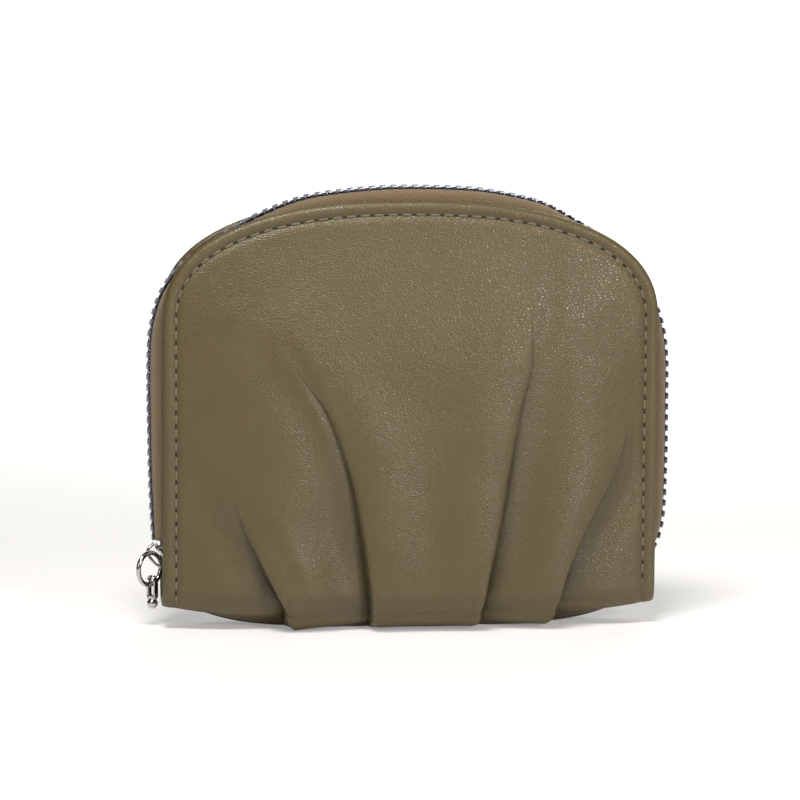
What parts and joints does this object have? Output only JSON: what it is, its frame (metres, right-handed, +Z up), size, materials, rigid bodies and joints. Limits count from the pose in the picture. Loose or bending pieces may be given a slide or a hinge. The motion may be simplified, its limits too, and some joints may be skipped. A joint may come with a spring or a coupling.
{
  "type": "leather coin pouch",
  "caption": "Compact zip-around coin purse: gathered leather front, plain back, arched metal chain on cloth tapes, slider with ring and drop.",
  "frame": {"origin": "middle of the flat base, on the surface that the pouch stands on", "axes": "+X along the width, to the right as seen from the front; the gathered front faces -Y; +Z up to the arch of the zip"},
  "size_m": [0.1159, 0.0281, 0.0954],
  "materials": {
    "leather": "olive leather with a fine pebbled grain and a soft sheen",
    "tape": "khaki woven twill tape, matt",
    "teeth_metal": "polished nickel-coloured teeth",
    "bright_metal": "bright polished plating"
  },
  "bodies": {
    "root": {"front_panel": "leather", "back_panel": "leather", "zip_tape_front": "tape", "zip_tape_back": "tape", "zip_teeth": "teeth_metal", "zip_slider": "bright_metal", "pull_ring": "bright_metal", "pull_drop": "bright_metal"}
  },
  "joints": []
}
